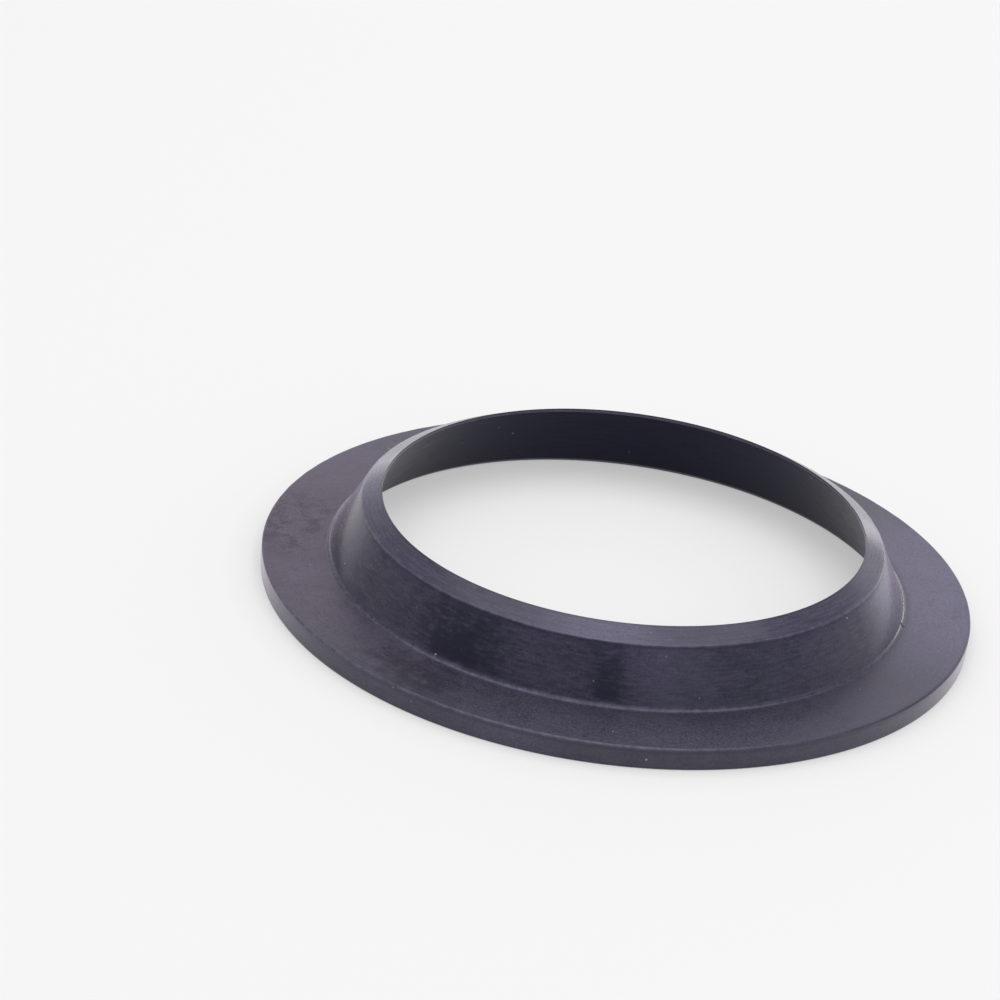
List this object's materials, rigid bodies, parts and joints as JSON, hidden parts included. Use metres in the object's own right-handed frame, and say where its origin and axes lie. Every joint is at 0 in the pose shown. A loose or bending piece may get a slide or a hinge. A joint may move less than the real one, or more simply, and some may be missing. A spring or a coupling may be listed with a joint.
{
  "type": "hydraulic wiper seal",
  "caption": "One-piece rubber rod wiper: a flat clamping flange and a conical lip that leans in to a bevelled wiping edge, which scrapes dirt off a sliding rod.",
  "frame": {"origin": "centre of the bore on the flange's base plane", "axes": "+Z along the rod's axis, from the flange's base towards the wiping edge"},
  "size_m": [0.13, 0.13, 0.0155],
  "materials": {
    "rubber": "black moulded rubber with a soft, dry sheen"
  },
  "bodies": {
    "root": {"wiper_seal": "rubber"}
  },
  "joints": []
}
